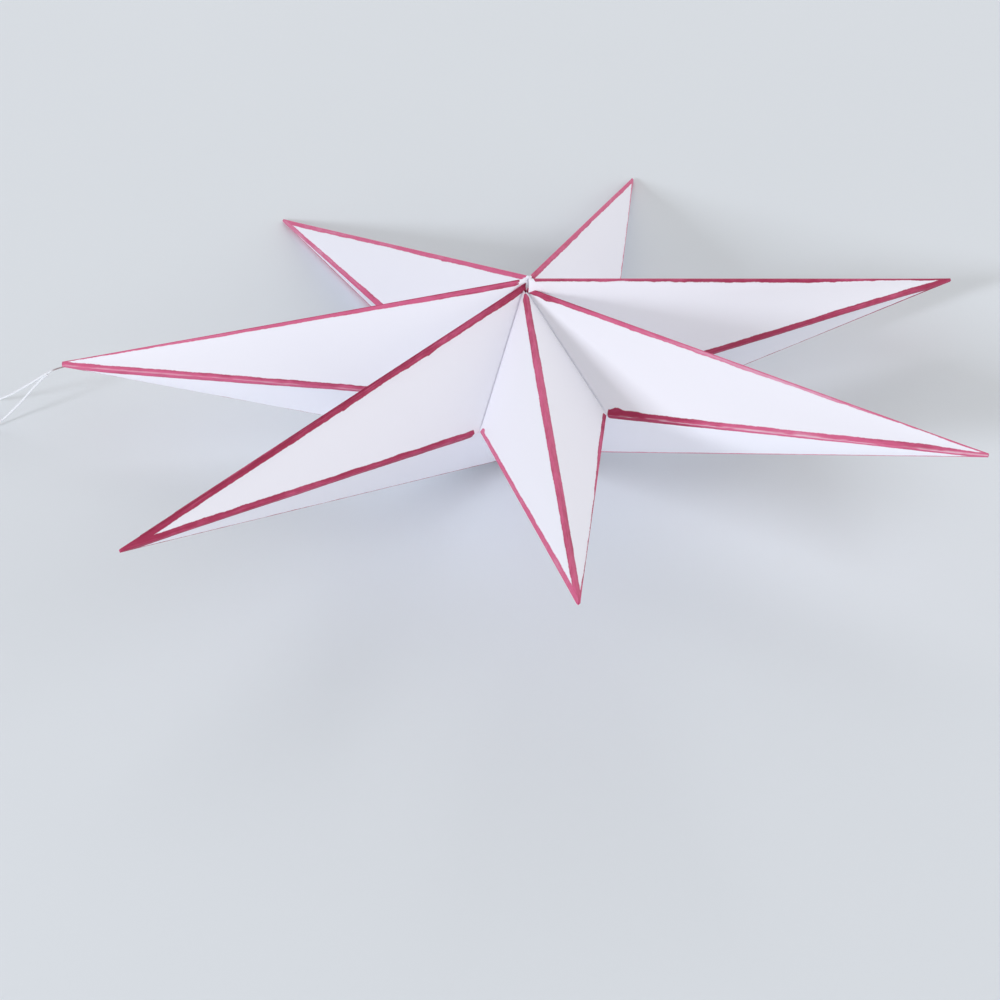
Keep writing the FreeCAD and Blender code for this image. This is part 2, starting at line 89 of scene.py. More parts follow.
# Each line: width on its first side, on its second side, tone, how far it stops short of its
# end in millimetres, and how bare the crest of its fold is.
# Ridges have the near side first, side folds the front panel first.
LINES = {
    "left": {
        "ridge": ((0.45, 0.7, 1.1, 1.2, 1.4, 1.7, 1.9), 1.2,
                  (0.3, 0.32, 0.4, 0.46, 0.48, 0.55, 0.72), 2.6, -0.35),
        "near": ((1.2, 1.15, 1.3, 1.3, 1.4, 1.35, 1.4), (2.2, 2.2, 2.0, 1.8, 1.5, 1.0, 1.0),
                 (0.5, 0.6, 0.6, 0.6, 0.65, 0.7, 0.75), 1.0, 0.25),
        "far": PLAIN, "keel": (0.3, 1.2, 0.9, 1.0, 0.0)},
    "front_left": {
        "ridge": ((1.8, 1.6, 1.7, 1.8, 1.9, 2.2, 2.45), 1.2,
                  (0.95, 0.93, 0.92, 0.9, 0.88, 0.75, 0.85), -1.5, 0.0),
        "near": ((1.5, 1.4, 1.35, 1.3, 1.2, 1.1, 1.0), (1.8, 1.4, 1.6, 1.9, 1.7, 2.1, 2.4),
                 (0.95, 0.85, 0.92, 0.8, 0.85, 0.88, 0.85), 1.7, 0.0),
        "far": PLAIN, "keel": (0.5, 1.2, 1.0, 1.0, 0.0)},
    "front": {
        "ridge": ((1.6, 1.8, 1.9, 1.75, 1.8, 1.7, 1.4), (1.0, 1.1, 1.2, 1.4, 1.5, 1.5, 1.4),
                  (0.6, 0.72, 0.62, 0.65, 0.6, 0.68, 0.74), 0.1, 0.0),
        "near": ((0.6, 0.35, 0.35, 0.45, 0.8, 1.3, 1.4), 0.5,
                 (0.6, 0.8, 0.8, 0.7, 0.65, 0.7, 0.8), 0.6, 0.0),
        "far": ((1.5, 1.6, 1.5, 1.4, 1.3, 1.2, 1.15), (0.8, 0.6, 0.6, 0.7, 0.9, 1.2, 1.2),
                (0.45, 0.4, 0.42, 0.45, 0.42, 0.38, 0.36), 0.2, 0.0),
        "keel": PLAIN},
    "front_right": {
        "ridge": (1.2, (0.45, 0.5, 0.95, 1.25, 1.35, 1.5, 1.6),
                  (0.3, 0.25, 0.12, 0.12, 0.3, 0.42, 0.75), -1.5, -0.35),
        "near": PLAIN,
        "far": ((0.9, 1.5, 1.4, 1.35, 1.3, 1.3, 1.7), (1.1, 1.1, 1.0, 1.3, 1.45, 1.8, 2.0),
                (0.5, 0.68, 0.5, 0.38, 0.5, 0.85, 1.0), 0.1, 0.45),
        "keel": (1.2, 0.75, 0.4, 1.0, 0.0)},
    "right": {
        "ridge": (1.2, (0.7, 0.65, 1.3, 1.4, 1.3, 1.25, 1.3),
                  (0.9, 0.75, 0.88, 0.85, 0.8, 0.7, 0.75), 1.5, 0.0),
        "near": PLAIN,
        "far": ((1.2, 1.4, 1.5, 1.4, 1.35, 1.3, 1.3), (2.2, 1.4, 1.1, 1.3, 1.5, 1.4, 1.4),
                (0.9, 0.8, 0.8, 0.85, 0.9, 0.9, 0.9), 0.6, 0.0),
        "keel": (1.2, (1.0, 0.65, 0.5, 0.5, 0.5, 0.5, 0.5), 0.95, 1.0, 0.0)},
    "back": {
        "ridge": (1.2, (1.3, 1.3, 1.3, 1.35, 1.5, 1.5, 1.6),
                  (0.4, 0.45, 0.48, 0.52, 0.6, 0.65, 0.65), 1.0, 0.0),
        "near": PLAIN,
        "far": ((0.8, 0.5, 0.4, 0.4, 0.45, 0.5, 0.6), 0.3, (0.4, 0.3, 0.3, 0.3, 0.4, 0.5, 0.5),
                0.6, 0.0),
        "keel": PLAIN},
    "back_left": {
        "ridge": ((1.5, 1.55, 1.45, 1.4, 1.55, 1.6, 1.6), 1.2,
                  (0.4, 0.38, 0.38, 0.45, 0.45, 0.5, 0.55), 1.4, 0.0),
        "near": ((1.1, 1.3, 1.4, 1.5, 1.75, 1.8, 1.8), 0.4,
                 (0.3, 0.3, 0.32, 0.35, 0.5, 0.6, 0.6), 0.6, 0.0),
        "far": PLAIN, "keel": PLAIN},
}

# Where a line starts again and bulges: share of the fold, panel, extra width and half length.
BUMPS = {
    ("front_left", "ridge"): (
        (0.746, 1, 0.25, 1.4), (0.689, 1, 0.2, 1.3), (0.531, 1, 0.3, 1.4),
        (0.985, 2, 0.4, 5.0)),
    ("front_left", "near"): ((0.346, 1, 0.25, 1.3), (0.278, 1, 0.2, 1.3), (0.246, 1, 0.2, 1.3)),
    ("front_right", "ridge"): ((0.951, 2, 0.4, 1.5), (0.76, 2, 0.2, 1.3)),
    ("front_right", "far"): ((0.976, 2, 0.65, 1.6), (0.93, 2, 0.15, 2.2)),
    ("front", "far"): ((0.985, 2, 0.5, 1.4),),
    ("back_left", "ridge"): ((0.704, 1, 0.25, 1.4),),
    ("right", "ridge"): ((0.308, 2, 0.2, 1.4), (0.216, 2, 0.2, 1.3)),
}
# How far the middle of each panel stands out from flat, in millimetres, in the order back
# near, front near, front far, back far.
BULGE = {
    "left": (0.3, -0.35, 0.3, 0.2), "front_left": (-0.25, 0.35, 0.3, 0.3),
    "front": (0.3, -0.3, 0.4, -0.2), "front_right": (0.2, 0.3, -0.3, 0.35),
    "right": (0.3, 0.3, 0.35, -0.3), "back": (0.25, -0.3, 0.35, 0.3),
    "back_left": (-0.3, 0.4, 0.3, 0.25),
}

# Each panel's grid: rows from tip to root, and columns from fold to fold.
ROWS = 128
COLUMNS = 12
# Distances of a panel's first columns from its fold, in millimetres, where the panel is at
# least as wide as FULL_WIDTH. Where it is narrower, they shrink with it.
FOLD_COLUMNS = (0.0, 0.18, 0.42, 1.35, 2.7)
FULL_WIDTH = 7.0
# Near the tip a fold is rounded over no more than this share of the distance from the tip.
FOLD_SHARE = 0.0264
# A flap starts this many columns from the front ridge, and widens at these rates from both of
# its ends, in millimetres to the millimetre.
FLAP_START_COLUMN = 1.6
FLAP_START = 0.3
FLAP_RISE = 1.6
FLAP_FALL = 0.5
FLAP_LEAST = 0.05
# Places closer than this to an edge of the flat grid, which is 1 wide, are on that edge.
ON_EDGE = 1e-4

# The thread's route, in millimetres: the control points of its curve.
THREAD_ROUTE = [
    (-129.03, 17.59, 22.89), (-135.98, 18.37, 21.54), (-142.38, 19.02, 17.2),
    (-151.38, 23.07, 8.94), (-160.98, 29.47, 0.33), (-177.68, 36.67, 0.33),
    (-196.18, 37.77, 0.33), (-210.68, 29.67, 0.33), (-213.18, 13.67, 0.33),
    (-201.18, 2.67, 0.33), (-183.98, 2.57, 0.33), (-169.78, 9.77, 0.33),
    (-157.58, 18.77, 0.33), (-148.58, 18.47, 9.34), (-143.97, 18.76, 14.55),
    (-141.16, 18.6, 17.4),
]
# The thread is drawn thin where it sits in the stopper knot.
THREAD_ENDS = (0.6, 0.62)
# The thread is painted darker, in a pinkish brown, from this X on, in metres, and fully from the
# second: painted shade where it leaves the tip.
THREAD_SHADE_STARTS, THREAD_SHADE_FULL = -0.1388, -0.1366
# Each knot: its start, its direction and the direction of its width.
LOOP_KNOT = ((-139.58, 18.85, 19.2), (-0.7826, 0.0795, -0.6175), (0.4356, -0.6388, -0.6342))
STOPPER_KNOT = ((-129.03, 17.59, 22.89), (0.9759, -0.1097, 0.1888), (0.1, 0.99, 0.0))
# Each knot's length, half width, half depth and strand radius in millimetres, and its wraps.
LOOP_KNOT_SIZES = (2.4, 0.78, 0.43, 0.24, 5)
STOPPER_KNOT_SIZES = (2.2, 0.78, 0.78, 0.34, 3)
# The loop's knot lies round both strands, this far to the side of the first one.
LOOP_KNOT_ASIDE = 0.35
WRAP_LEAN = 0.14
RING_CORNERS = 10
RING_STEPS = 28

FLOOR_HALF_WIDTH = 3.0
LIGHT_DISTANCE = 3.5
# Each light: azimuth and elevation in degrees, width in metres, share of its power and colour.
WINDOW = (-138, 26, 0.5, 1.0, (0.91, 0.935, 1.0))
WALLS = {
    "front_wall": (-90, 12, 2.5, 0.8, (1.0, 0.945, 0.91)),
    "right_wall": (0, 20, 3.0, 1.0, (1.0, 0.985, 0.985)),
    "back_wall": (90, 24, 3.0, 1.25, (1.0, 0.99, 0.99)),
}
SKY_COLOR = (1.0, 0.985, 0.985, 1.0)

# The camera, in metres, with the directions of the picture's right side and lower side.
CAMERA_PLACE = (-0.007946, -0.512305, 0.436042)
CAMERA_RIGHT = (0.9987, -0.035, -0.0371)
CAMERA_DOWN = (-0.05099, -0.66704, -0.74328)
CAMERA_LENS = 81.656
CAMERA_SENSOR = 36.0
CAMERA_END = 10.0


def tinted(red, green, blue):
    """A colour as it looks on a screen, from 0 to 255, as the light values a shader takes."""
    shares = [channel / 255 for channel in (red, green, blue)]
    return [c / 12.92 if c < 0.04045 else ((c + 0.055) / 1.055) ** 2.4 for c in shares]


class Number:
    """A number that varies over a surface, for maths written as Python expressions."""

    def __init__(self, finish, socket):
        self.finish = finish
        self.socket = socket

    def maths(self, operation, *others):
        return self.finish.maths(operation, self, *others)

    def __add__(self, other):
        return self.maths("ADD", other)

    def __radd__(self, other):
        return self.maths("ADD", other)

    def __sub__(self, other):
        return self.maths("SUBTRACT", other)

    def __rsub__(self, other):
        return self.finish.maths("SUBTRACT", other, self)

    def __mul__(self, other):
        return self.maths("MULTIPLY", other)

    def __rmul__(self, other):
        return self.maths("MULTIPLY", other)

    def clamped(self):
        return self.maths("MAXIMUM", 0.0).maths("MINIMUM", 1.0)

    def step(self, low, high):
        """0 below low, 1 above high, and smooth between them."""
        node = self.finish.node("ShaderNodeMapRange", {"interpolation_type": "SMOOTHSTEP"},
                                {0: self, 1: low, 2: high, 3: 0.0, 4: 1.0})
        return Number(self.finish, node.outputs[0])


class Finish:
    """A material under construction, with one method for every node."""

    def __init__(self, name):
        self.material = bpy.data.materials.new(name)
        self.material.use_nodes = True
        self.tree = self.material.node_tree
        self.tree.nodes.clear()

    def node(self, kind, settings=None, inputs=None):
        """A node of a type, with its settings and then its inputs, as values or links."""
        node = self.tree.nodes.new(kind)
        for key, setting in (settings or {}).items():
            setattr(node, key, setting)
        for key, given in (inputs or {}).items():
            if isinstance(given, Number):
                given = given.socket
            if isinstance(given, bpy.types.NodeSocket):
                self.tree.links.new(given, node.inputs[key])
            else:
                node.inputs[key].default_value = given
        return node

    def maths(self, operation, *values):
        node = self.node("ShaderNodeMath", {"operation": operation}, dict(enumerate(values)))
        return Number(self, node.outputs[0])

    def map_pair(self, name):
        """The two numbers of one of the piece's own maps."""
        read = self.node("ShaderNodeUVMap", {"uv_map": name})
        split = self.node("ShaderNodeSeparateXYZ", None, {0: read.outputs[0]})
        return Number(self, split.outputs[0]), Number(self, split.outputs[1])

    def vector(self, x, y, z):
        return self.node("ShaderNodeCombineXYZ", None, {0: x, 1: y, 2: z}).outputs[0]

    def noise(self, vector, scale, detail=2.0, roughness=0.5):
        node = self.node("ShaderNodeTexNoise", {"noise_dimensions": "3D"},
                         {"Vector": vector, "Scale": scale, "Detail": detail,
                          "Roughness": roughness})
        return Number(self, node.outputs[0])

    def object_place(self):
        """The place on the piece, in metres."""
        return self.node("ShaderNodeTexCoord").outputs["Object"]

    def mix(self, factor, first, second):
        """A colour between two colours."""
        first = first if isinstance(first, bpy.types.NodeSocket) else list(first) + [1.0]
        second = second if isinstance(second, bpy.types.NodeSocket) else list(second) + [1.0]
        node = self.node("ShaderNodeMix", {"data_type": "RGBA"}, {0: factor, 6: first, 7: second})
        return node.outputs[2]

    def bump(self, height, strength, distance):
        return self.node("ShaderNodeBump", None,
                         {"Strength": strength, "Distance": distance,
                          "Height": height}).outputs[0]

    def surface(self, color, roughness, normal, specular):
        """Ends the material with its shader."""
        inputs = {"Base Color": color, "Roughness": roughness, "Normal": normal,
                  "Specular IOR Level": specular}
        shader = self.node("ShaderNodeBsdfPrincipled", None, inputs)
        self.node("ShaderNodeOutputMaterial", None, {0: shader.outputs[0]})
        return self.material


class PaperSettings(bpy.types.PropertyGroup):
    thickness: bpy.props.FloatProperty(
        name="Card thickness", description="Thickness of the drawing card",
        default=0.25 * MM, unit="LENGTH")
    fold_reach: bpy.props.FloatProperty(
        name="Fold rounding", description="How far from its crest a fold is rounded",
        default=0.28 * MM, unit="LENGTH")
    seam_gap: bpy.props.FloatProperty(
        name="Seam gap", description="How far a sheet stops short of its valley seams",
        default=0.02 * MM, unit="LENGTH")
    flap_width: bpy.props.FloatProperty(
        name="Flap width", description="Width of the glue flaps inside",
        default=6.5 * MM, unit="LENGTH")
    color: bpy.props.FloatVectorProperty(
        name="Card colour", description="Colour of the bare card", subtype="COLOR", size=3,
        default=tinted(243, 244, 253))


class InkSettings(bpy.types.PropertyGroup):
    pale: bpy.props.FloatVectorProperty(
        name="Pale ink", description="Colour where the felt tip ran dry", subtype="COLOR",
        size=3, default=tinted(226, 168, 194))
    middle: bpy.props.FloatVectorProperty(
        name="Ink", description="Colour of one pass of the felt tip", subtype="COLOR",
        size=3, default=tinted(214, 100, 140))
    dark: bpy.props.FloatVectorProperty(
        name="Dark ink", description="Colour where passes overlap", subtype="COLOR",
        size=3, default=tinted(166, 48, 84))
    wander: bpy.props.FloatProperty(
        name="Edge wander", description="How far a drawn edge wanders, in millimetres",
        default=0.34)


class ThreadSettings(bpy.types.PropertyGroup):
    diameter: bpy.props.FloatProperty(
        name="Thread diameter", description="Diameter of the cotton thread",
        default=0.65 * MM, unit="LENGTH")


class StageSettings(bpy.types.PropertyGroup):
    floor_color: bpy.props.FloatVectorProperty(
        name="Floor colour", description="Colour of the pale floor", subtype="COLOR",
        size=3, default=tinted(226, 232, 237))
    window_power: bpy.props.FloatProperty(
        name="Window power", description="Power of the window's light, from the front left",
        default=53.5, unit="POWER")
    wall_power: bpy.props.FloatProperty(
        name="Wall power", description="Power of the light from the right wall, with the rest",
        default=43.0, unit="POWER")
    sky_strength: bpy.props.FloatProperty(
        name="Sky strength", description="Strength of the even light all round", default=0.415)


def new_piece(name, bm, material, slot, *nodes):
    """A finished piece: its mesh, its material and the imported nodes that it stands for."""
    mesh = bpy.data.meshes.new(name)
    bm.to_mesh(mesh)
    bm.free()
    for face in mesh.polygons:
        face.use_smooth = True
    piece = bpy.data.objects.new(name, mesh)
    bpy.context.scene.collection.objects.link(piece)
    mesh.materials.append(material)
    if slot:
        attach(piece, "root")
    if nodes:
        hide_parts(*nodes)
    return piece


def card_finish(paper, ink):
    """White card with felt-tip lines, from the sheet's own maps."""
    f = Finish("card_with_lines")
    reach = f.map_pair("line_reach")
    away = f.map_pair("fold_distance")
    tone = f.map_pair("line_tone")
    crest = f.map_pair("fold_crest")
    along, seed = f.map_pair("sheet_place")
    place = f.object_place()
    fibre = f.noise(place, 900.0, 4.0, 0.6)
    cloud = f.noise(place, 35.0, 2.0)
    shade = ((fibre - 0.5) * 0.10 + (cloud - 0.5) * 0.08 + 0.5).clamped()
    card = list(paper.color)
    color = f.mix(shade, [c * 0.965 for c in card], [min(1.0, c * 1.02) for c in card])
    inked = None
    for side in (0, 1):
        own = seed + 17.0 * side
        wander = f.noise(f.vector(along * 0.16, away[side] * 0.16, own), 1.0, 3.0, 0.65)
        ragged = f.noise(f.vector(along * 1.1, away[side] * 0.9, own + 5.0), 1.0, 2.0, 0.6)
        edge = reach[side] + (wander - 0.5) * (2 * ink.wander) + (ragged - 0.5) * 0.22
        mask = edge.step(-0.13, 0.13)
        # Streaks run along the line, as the strands of a felt tip leave them.
        streak = f.noise(f.vector(along * 0.07, away[side] * 2.6, own + 9.0), 1.0, 3.0, 0.6)
        blotch = f.noise(f.vector(along * 0.3, away[side] * 0.5, own + 3.0), 1.0, 2.0)
        # Ink gathers at the two edges of a line.
        rim = (1.0 - edge.step(0.1, 0.45)) * mask
        dark = tone[side] + (streak - 0.5) * 0.5 + (blotch - 0.5) * 0.4 + rim * 0.16
        top = 1.0 - away[side].step(0.1, 0.55)
        dark = (dark + (0.0 - crest[side]).clamped() * top).clamped()
        low = f.mix(dark.step(0.0, 0.5), ink.pale, ink.middle)
        drawn = f.mix(dark.step(0.5, 1.0), low, ink.dark)
        # Along the crest of some folds the line gives way, in patches, to the bare card colour.
        patch = f.noise(f.vector(along * 0.05, own, 4.0), 1.0, 3.0, 0.7).step(0.42, 0.56)
        bare = crest[side].clamped() * patch * top
        mask = mask * (1.0 - bare)
        color = f.mix(mask, color, drawn)
        inked = mask if inked is None else inked.maths("MAXIMUM", mask)
    roughness = 0.82 - inked * 0.22
    grain = f.noise(place, 2600.0, 3.0, 0.6)
    normal = f.bump(grain, 0.08, 0.00012)
    return f.surface(color, roughness, normal, 0.3)


def at_stations(values, share):
    """A line's width or tone at a share of its fold."""
    if isinstance(values, (int, float)):
        return values
    if share <= STATIONS[0]:
        return values[0]
    for low, high, start, end in zip(STATIONS, STATIONS[1:], values, values[1:]):
        if share <= high:
            return start + (end - start) * (share - low) / (high - low)
    return values[-1]


class Sheet:
    """The corners and lines of one folded sheet, in millimetres.

    Its folds are 0 the back ridge, 1 the near side, 2 the front ridge and 3 the far side, and
    panel N lies between fold N and the next one.
    """

    def __init__(self, name):
        self.name = name
        before = SHEETS[SHEETS.index(name) - 1]
        self.meet = Vector(MEET[name])
        back = Vector(BACK_END.get(name, BACK_APEX))
        ridge = Vector(RIDGE_END[name])
        near = Vector(NOTCH[name])
        far = Vector(NOTCH[before])
        self.corners = {1: [Vector(c) for c in reversed(CORNERS.get((name, "near"), []))],
                        2: [Vector(c) for c in CORNERS.get((name, "far"), [])]}
        self.roots = [back, near, ridge, far, back]
        up = (ridge - back).normalized()
        out = self.meet - back
        out = (out - up * out.dot(up)).normalized()
        blunt = BLUNT[name]
        self.tips = []
        for root in self.roots:
            share = blunt / out.dot(self.meet - root)
            self.tips.append(self.meet + (root - self.meet) * share)
        self.middle = self.meet * 0.5 + (back + near + ridge + far) * 0.125

    def root_place(self, panel, part):
        """A place on the panel's root edge, which can have corners near the ridge."""
        start, end = self.roots[panel], self.roots[panel + 1]
        places = [start] + self.corners.get(panel, []) + [end]
        lengths = [(b - a).length for a, b in zip(places, places[1:])]
        left = part * sum(lengths)
        for length, a, b in zip(lengths, places, places[1:]):
            if left <= length:
                return a + (b - a) * (left / length)
            left -= length
        return places[-1]

    def panel_normal(self, panel):
        """The direction that the panel's outer face looks in."""
        across = (self.roots[panel] - self.meet).cross(self.roots[panel + 1] - self.meet)
        across.normalize()
        if across.dot(self.middle - self.meet) > 0:
            across = -across
        return across

    def column_part(self, width, column):
        """Where a column stands across a panel of that width, from 0 to 1."""
        squeeze = min(1.0, width / FULL_WIDTH)
        if column > COLUMNS / 2:
            return 1 - self.column_part(width, COLUMNS - column)
        if column < len(FOLD_COLUMNS):
            return FOLD_COLUMNS[column] * squeeze / width
        first = FOLD_COLUMNS[-1] * squeeze / width
        steps = COLUMNS / 2 - len(FOLD_COLUMNS) + 1
        return first + (0.5 - first) * (column - len(FOLD_COLUMNS) + 1) / steps

    def place(self, panel, share, column, settings):
        """The place of a grid point on a panel, from tip (0) to root (1)."""
        width = (self.tips[panel] - self.tips[panel + 1]).length * (1 - share)
        width += (self.roots[panel] - self.roots[panel + 1]).length * share
        part = self.column_part(width, column)
        tip = self.tips[panel].lerp(self.tips[panel + 1], part)
        root = self.root_place(panel, part)
        root = root + (tip - root).normalized() * (settings.seam_gap / MM)
        place = tip.lerp(root, share)
        bulge = BULGE[self.name][panel]
        swell = math.sin(math.pi * part) * math.sin(math.pi * min(1.0, share * 1.02)) ** 0.8
        return place + self.panel_normal(panel) * (bulge * swell)

    def fold_line(self, fold):
        """A fold's direction from the meet corner, and its length."""
        along = self.roots[fold % 4] - self.meet
        return along.normalized(), along.length

    def rounded(self, place, panel, settings):
        """The same place with the folds at both sides of the panel rounded."""
        for fold, other in ((panel, panel - 1), (panel + 1, panel + 1)):
            along, length = self.fold_line(fold)
            offset = place - self.meet
            offset -= along * offset.dot(along)
            foot = place - offset
            normal = self.panel_normal(panel)
            beyond = self.panel_normal(other % 4)
            inward = -(normal + beyond).normalized()
            # Half the angle between the two panels, kept away from zero.
            opening = math.asin(min(1.0, max(0.05, -inward.dot(normal))))
            tangent = min(settings.fold_reach / MM, FOLD_SHARE * (foot - self.meet).length)
            if offset.length >= tangent:
                continue
            radius = tangent * math.tan(opening)
            centre = foot + inward * (radius / math.sin(opening))
            ray = place - centre
            ray -= along * ray.dot(along)
            place = centre + ray.normalized() * radius
        return place

    def maps_at(self, place, panel):
        """The numbers that the card's finish reads, for a place on a panel."""
        fold_names = {0: "keel", 1: "near", 2: "ridge", 3: "far"}
        ridge, side = (panel, panel + 1) if panel in (0, 2) else (panel + 1, panel)
        found = []
        for fold in (ridge, side):
            direction, length = self.fold_line(fold)
            offset = place - self.meet
            run = offset.dot(direction)
            away = (offset - direction * run).length
            fold_name = fold_names[fold % 4]
            first, second, tone, short, crest = LINES[self.name][fold_name]
            if fold % 4 in (0, 2):
                widths = first if panel in (0, 1) else second
            else:
                widths = first if panel in (1, 2) else second
            share = run / length
            width = at_stations(widths, share)
            for middle, bump_panel, extra, half in BUMPS.get((self.name, fold_name), ()):
                if bump_panel == panel:
                    width += extra * max(0.0, 1 - ((share - middle) * length / half) ** 2)
            reach = min(width - away, length - short - run)
            found.append((reach, away, at_stations(tone, share), crest, run))
        return found


def fold_sheet(name, settings, finish):
    """One point of the star: a flat grid folded into four panels, closed at the back ridge."""
    sheet = Sheet(name)
    # Each panel has a seed of its own, so that no two lines wander alike.
    seed = SHEETS.index(name) * 4.0
    bm = bmesh.new()
    bmesh.ops.create_grid(bm, x_segments=4 * COLUMNS, y_segments=ROWS, size=0.5)
    names = ("line_reach", "fold_distance", "line_tone", "fold_crest", "sheet_place")
    maps = {key: bm.loops.layers.uv.new(key) for key in names}
    moved = {}
    for face in bm.faces:
        panel = min(3, int((face.calc_center_median().x + 0.5) * 4))
        for loop in face.loops:
            x, y = loop.vert.co.x + 0.5, loop.vert.co.y + 0.5
            column = round(x * 4 * COLUMNS) - panel * COLUMNS
            flat = sheet.place(panel, y, column, settings)
            ridge, side = sheet.maps_at(flat, panel)
            loop[maps["line_reach"]].uv = (ridge[0], side[0])
            loop[maps["fold_distance"]].uv = (ridge[1], side[1])
            loop[maps["line_tone"]].uv = (ridge[2], side[2])
            loop[maps["fold_crest"]].uv = (ridge[3], side[3])
            loop[maps["sheet_place"]].uv = (side[4], seed + panel + 0.5)
            moved[loop.vert] = (sheet.rounded(flat, panel, settings), x, y)
    for vert, (place, x, y) in moved.items():
        vert.co = place * MM
    rim = [vert for vert, (place, x, y) in moved.items() if x < ON_EDGE or x > 1 - ON_EDGE]
    root = {vert: (round(x * 4 * COLUMNS), place) for vert, (place, x, y) in moved.items()
            if y > 1 - ON_EDGE}
    tip_edges = [edge for edge in bm.edges if edge.is_boundary
                 and all(moved[v][2] < ON_EDGE for v in edge.verts)]
    fold_flaps(bm, sheet, root, settings)
    bmesh.ops.remove_doubles(bm, verts=[v for v in rim if v.is_valid], dist=1e-7)
    tip_edges = [edge for edge in tip_edges if edge.is_valid]
    # The blunt tip is closed by one face, which is all ink.
    end = bmesh.ops.edgeloop_fill(bm, edges=tip_edges)
    for face in end["faces"]:
        for loop in face.loops:
            loop[maps["line_reach"]].uv = (1.0, 1.0)
            loop[maps["line_tone"]].uv = (0.6, 0.6)
            loop[maps["sheet_place"]].uv = (0.0, seed)
    bmesh.ops.recalc_face_normals(bm, faces=bm.faces)
    outward = sum((f.calc_center_median() - sheet.middle * MM).dot(f.normal) * f.calc_area()
                  for f in bm.faces)
    if outward < 0:
        bmesh.ops.reverse_faces(bm, faces=bm.faces)
    piece = new_piece(name + "_sheet", bm, finish, "card", name + "_point")
    card = piece.modifiers.new("card", "SOLIDIFY")
    card.thickness = settings.thickness
    card.offset = -1.0
    shading = piece.modifiers.new("shading", "WEIGHTED_NORMAL")
    shading.weight = 50
    return piece


def fold_flaps(bm, sheet, root, settings):
    """Turns a glue flap in along each valley edge, towards the opposite apex."""
    column_of = {vert: column for vert, (column, place) in root.items()}
    edges = []
    for edge in bm.edges:
        if edge.is_boundary and all(v in column_of for v in edge.verts):
            columns = [column_of[v] for v in edge.verts]
            middle = sum(columns) / 2 / COLUMNS
            panel = min(3, int(middle))
            near_ridge = abs(middle - 2) * COLUMNS < FLAP_START_COLUMN
            if not (panel in (1, 2) and near_ridge):
                edges.append(edge)
    grown = bmesh.ops.extrude_edge_only(bm, edges=edges)
    new_verts = [g for g in grown["geom"] if isinstance(g, bmesh.types.BMVert)]
    by_place = {}
    for vert in root:
        by_place[tuple(round(c, 9) for c in vert.co)] = vert
    for vert in new_verts:
        source = by_place[tuple(round(c, 9) for c in vert.co)]
        column = column_of[source]
        panel = max(0, (column - 1) // COLUMNS)
        notch = sheet.roots[1] if panel in (0, 1) else sheet.roots[3]
        this, other = sheet.roots[0], sheet.roots[2]
        if panel in (1, 2):
            this, other = other, this
        along = (notch - this).normalized()
        inward = (other - this) - along * (other - this).dot(along)
        inward.normalize()
        place = Vector(vert.co) / MM
        run = (place - this).dot(along)
        length = (notch - this).length
        width = min(settings.flap_width / MM, (run - FLAP_START) * FLAP_RISE,
                    (length - run) * FLAP_FALL)
        width = max(FLAP_LEAST, width)
        vert.co = (place + inward * width) * MM


def knot_rings(place, along, across, sizes):
    """Wraps of thread drawn tight beside each other, round an axis."""
    length, half_width, half_depth, strand = (size * MM for size in sizes[:-1])
    wraps = sizes[-1]
    bm = bmesh.new()
    along = Vector(along).normalized()
    across = Vector(across)
    across = (across - along * across.dot(along)).normalized()
    deep = along.cross(across)
    frame_of_knot = Matrix((across, deep, along)).transposed().to_4x4()
    frame_of_knot.translation = Vector(place) * MM
    for wrap in range(wraps):
        ring = bmesh.ops.create_circle(bm, cap_ends=False, segments=RING_CORNERS,
                                       radius=strand)
        verts = ring["verts"]
        bmesh.ops.rotate(bm, verts=verts, cent=(0, 0, 0),
                         matrix=Matrix.Rotation(math.pi / 2, 3, "X"))
        bmesh.ops.translate(bm, verts=verts, vec=(half_depth - strand, 0, 0))
        edges = list({edge for vert in verts for edge in vert.link_edges})
        bmesh.ops.spin(bm, geom=verts + edges, cent=(0, 0, 0), axis=(0, 0, 1),
                       dvec=(0, 0, 0), angle=2 * math.pi, steps=RING_STEPS,
                       use_merge=True, use_duplicate=False)
        fresh = [v for v in bm.verts if not v.tag]
        lean = Matrix.Rotation(WRAP_LEAN * (1 if wrap % 2 else -1), 4, "X")
        stretch = Matrix.Diagonal((half_width / half_depth, 1.0, 1.0, 1.0))
        step = length / wraps
        shift = Matrix.Translation((0, 0, step * (wrap + 0.5)))
        bmesh.ops.transform(bm, matrix=frame_of_knot @ shift @ lean @ stretch, verts=fresh)
        for vert in bm.verts:
            vert.tag = True
    bmesh.ops.remove_doubles(bm, verts=bm.verts, dist=1e-7)
    bmesh.ops.recalc_face_normals(bm, faces=bm.faces)
    return bm


def thread_finish():
    """White twisted cotton, with painted shade in a pinkish brown where it leaves the tip."""
    f = Finish("cotton_thread")
    place = f.object_place()
    split = f.node("ShaderNodeSeparateXYZ", None, {0: place})
    x = Number(f, split.outputs[0])
    twist = f.noise(place, 2200.0, 3.0, 0.7)
    color = f.mix(twist, tinted(222, 226, 233), tinted(246, 249, 253))
    # Painted shade: the thread is darkened to a pinkish brown where it leaves the tip.
    thread_shade = x.step(THREAD_SHADE_STARTS, THREAD_SHADE_FULL)
    color = f.mix(thread_shade * 0.75, color, tinted(120, 84, 84))
    normal = f.bump(twist, 0.5, 0.0002)
    return f.surface(color, 0.85, normal, 0.2)


